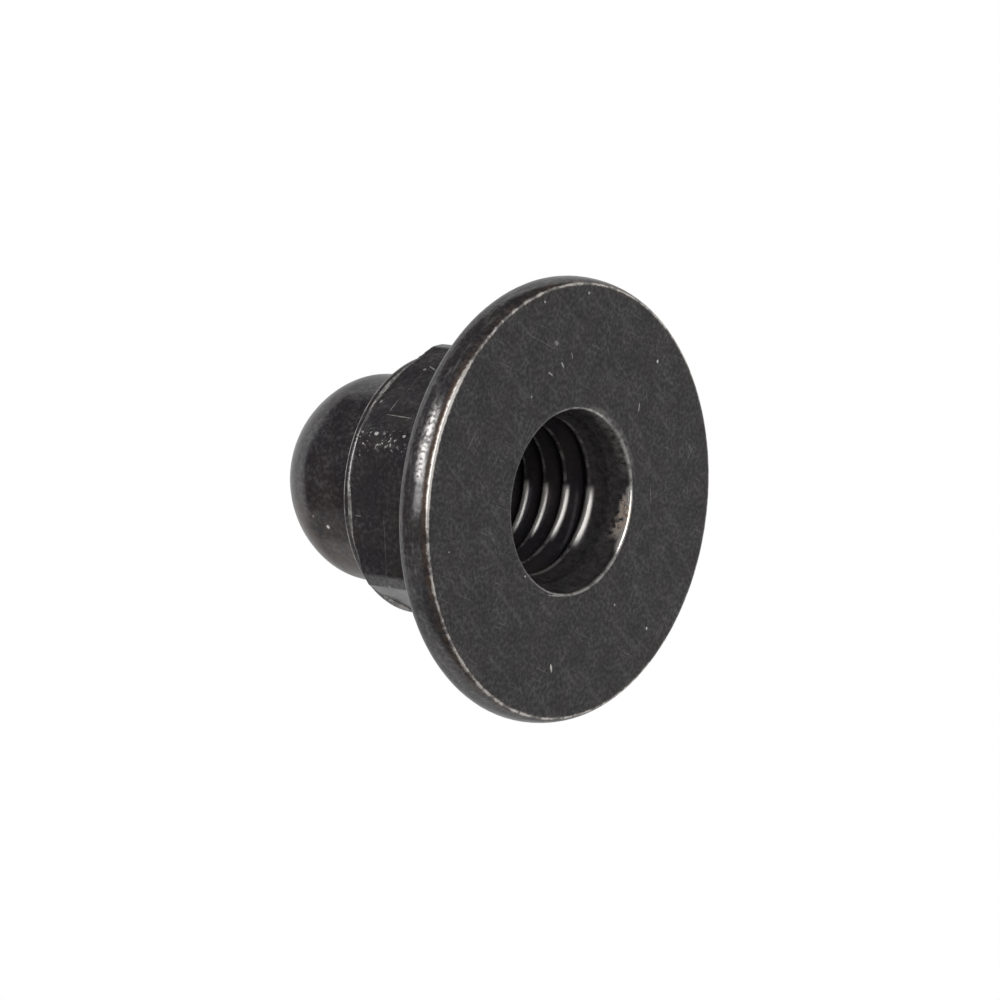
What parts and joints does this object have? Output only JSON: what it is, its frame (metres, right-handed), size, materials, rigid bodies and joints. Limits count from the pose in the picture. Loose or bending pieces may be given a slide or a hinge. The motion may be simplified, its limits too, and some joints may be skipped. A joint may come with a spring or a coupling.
{
  "type": "lock nut",
  "caption": "Flanged cap nut with a short chamfered hexagon, a domed closed end and a blind threaded bore with a tapered entry.",
  "frame": {"origin": "centre of the flat bearing face, on the nut's axis", "axes": "+Z along the nut's axis from the bearing face towards the domed end; flats of the hexagon face 0, 60, 120, 180, 240 and 300 degrees about +Z from +X"},
  "size_m": [0.026, 0.026, 0.02],
  "materials": {
    "nut": "black oxide over steel, worn bright along the edges"
  },
  "bodies": {
    "root": {"lock_nut": "nut"}
  },
  "joints": []
}
